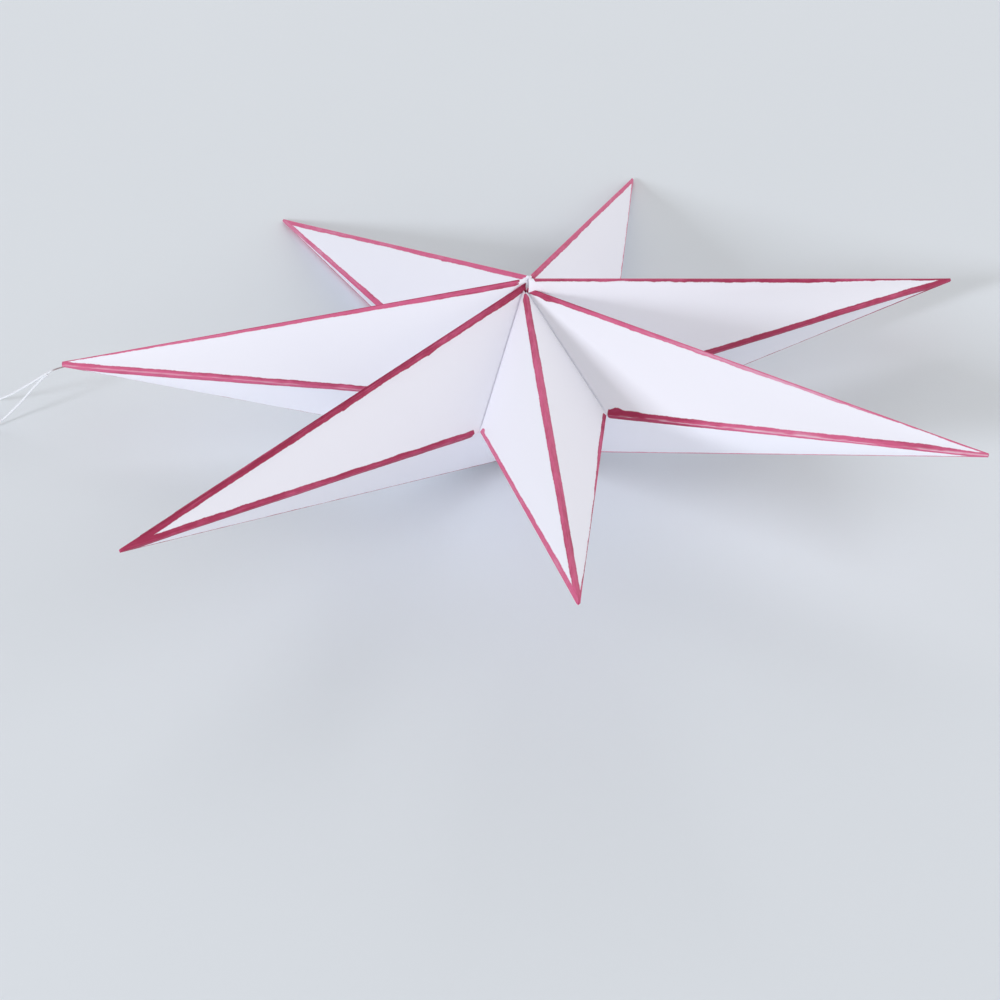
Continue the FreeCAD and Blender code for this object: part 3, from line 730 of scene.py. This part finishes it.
class STAR_OT_thread(bpy.types.Operator):
    """Lays the thread loop and ties its two knots"""

    bl_idname = "paper_star.thread"
    bl_label = "Thread"

    def execute(self, context):
        settings = context.scene.star_thread
        finish = thread_finish()
        curve = bpy.data.curves.new("thread_loop", "CURVE")
        curve.dimensions = "3D"
        spline = curve.splines.new("NURBS")
        spline.points.add(len(THREAD_ROUTE) - 1)
        for point, place in zip(spline.points, THREAD_ROUTE):
            point.co = (place[0] * MM, place[1] * MM, place[2] * MM, 1.0)
        for point, radius in zip(spline.points, THREAD_ENDS):
            point.radius = radius
        spline.order_u = 3
        spline.use_endpoint_u = True
        spline.resolution_u = 12
        curve.bevel_depth = settings.diameter / 2
        curve.bevel_resolution = 4
        curve.use_fill_caps = True
        thread = bpy.data.objects.new("thread_loop", curve)
        context.scene.collection.objects.link(thread)
        curve.materials.append(finish)
        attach(thread, "root")
        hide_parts("hanging_thread")
        place, along, across = LOOP_KNOT
        middle = Vector(place) + Vector(across) * LOOP_KNOT_ASIDE
        rings = knot_rings(middle, along, across, LOOP_KNOT_SIZES)
        loop_knot = new_piece("loop_knot_wraps", rings, finish, "thread", "loop_knot")
        rings = knot_rings(*STOPPER_KNOT, STOPPER_KNOT_SIZES)
        stopper = new_piece("stopper_knot_wraps", rings, finish, "thread", "stopper_knot")
        return {"FINISHED"}


class STAR_OT_sheets(bpy.types.Operator):
    """Folds the seven sheets of card, with their drawn lines"""

    bl_idname = "paper_star.sheets"
    bl_label = "Sheets"

    def execute(self, context):
        finish = card_finish(context.scene.star_paper, context.scene.star_ink)
        for name in SHEETS:
            fold_sheet(name, context.scene.star_paper, finish)
        return {"FINISHED"}


def floor_finish(color):
    """A smooth pale table top with faint clouding."""
    f = Finish("pale_floor")
    place = f.object_place()
    cloud = f.noise(place, 9.0, 3.0)
    speck = f.noise(place, 420.0, 2.0)
    shade = ((cloud - 0.5) * 0.5 + (speck - 0.5) * 0.12 + 0.5).clamped()
    base = list(color)
    mixed = f.mix(shade, [c * 0.975 for c in base], [min(1.0, c * 1.02) for c in base])
    normal = f.bump(speck, 0.03, 0.0004)
    return f.surface(mixed, 0.75, normal, 0.25)


def soft_light(name, power, place):
    """A square light that faces the star, with its power and a row of WINDOW or WALLS."""
    azimuth, elevation, size, share, color = place
    lamp = bpy.data.lights.new(name, "AREA")
    lamp.size = size
    lamp.energy = power * share
    lamp.color = color
    light = bpy.data.objects.new(name, lamp)
    bpy.context.scene.collection.objects.link(light)
    turn, lift = math.radians(azimuth), math.radians(elevation)
    away = Vector((math.cos(turn) * math.cos(lift), math.sin(turn) * math.cos(lift),
                   math.sin(lift)))
    light.location = away * LIGHT_DISTANCE
    light.rotation_euler = (-away).to_track_quat("-Z", "Y").to_euler()


class STAR_OT_stage(bpy.types.Operator):
    """Sets up the floor, the soft light and the camera"""

    bl_idname = "paper_star.stage"
    bl_label = "Stage"

    def execute(self, context):
        settings = context.scene.star_stage
        bm = bmesh.new()
        bmesh.ops.create_grid(bm, x_segments=8, y_segments=8, size=FLOOR_HALF_WIDTH)
        floor = new_piece("floor", bm, floor_finish(settings.floor_color), None)
        # A pale room: a cool window, and walls that send soft light back from three sides.
        soft_light("window", settings.window_power, WINDOW)
        for name, place in WALLS.items():
            soft_light(name, settings.wall_power, place)
        world = bpy.data.worlds.new("soft_room")
        world.use_nodes = True
        sky = world.node_tree.nodes["Background"]
        sky.inputs["Color"].default_value = SKY_COLOR
        sky.inputs["Strength"].default_value = settings.sky_strength
        context.scene.world = world
        camera = bpy.data.cameras.new("camera")
        camera.lens = CAMERA_LENS
        camera.sensor_width = CAMERA_SENSOR
        camera.clip_end = CAMERA_END
        viewer = bpy.data.objects.new("camera", camera)
        context.scene.collection.objects.link(viewer)
        right = Vector(CAMERA_RIGHT).normalized()
        up = -Vector(CAMERA_DOWN)
        up = (up - right * up.dot(right)).normalized()
        turn = Matrix((right, up, right.cross(up))).transposed()
        viewer.matrix_world = Matrix.Translation(CAMERA_PLACE) @ turn.to_4x4()
        context.scene.camera = viewer
        context.scene.view_settings.view_transform = "Standard"
        return {"FINISHED"}


class STAR_PT_panel(bpy.types.Panel):
    """Lists the star's steps and sizes"""

    bl_idname = "STAR_PT_panel"
    bl_label = "Paper Star"
    bl_space_type = "VIEW_3D"
    bl_region_type = "UI"
    bl_category = "Paper Star"

    def draw(self, context):
        for step in ("paper_star.stage", "paper_star.thread", "paper_star.sheets"):
            self.layout.operator(step)
        for group in SETTINGS:
            box = self.layout.box()
            settings = getattr(context.scene, group)
            for key in settings.bl_rna.properties.keys():
                if key not in ("rna_type", "name"):
                    box.prop(settings, key)


SETTINGS = {
    "star_paper": PaperSettings, "star_ink": InkSettings, "star_thread": ThreadSettings,
    "star_stage": StageSettings,
}
CLASSES = [PaperSettings, InkSettings, ThreadSettings, StageSettings,
           STAR_OT_thread, STAR_OT_sheets, STAR_OT_stage, STAR_PT_panel]


def register():
    for made in CLASSES:
        bpy.utils.register_class(made)
    for key, group in SETTINGS.items():
        setattr(bpy.types.Scene, key, bpy.props.PointerProperty(type=group))


def unregister():
    for key in SETTINGS:
        delattr(bpy.types.Scene, key)
    for made in reversed(CLASSES):
        bpy.utils.unregister_class(made)


def main():
    register()
    bpy.ops.paper_star.stage()
    bpy.ops.paper_star.thread()
    bpy.ops.paper_star.sheets()


if __name__ == "__main__":
    main()
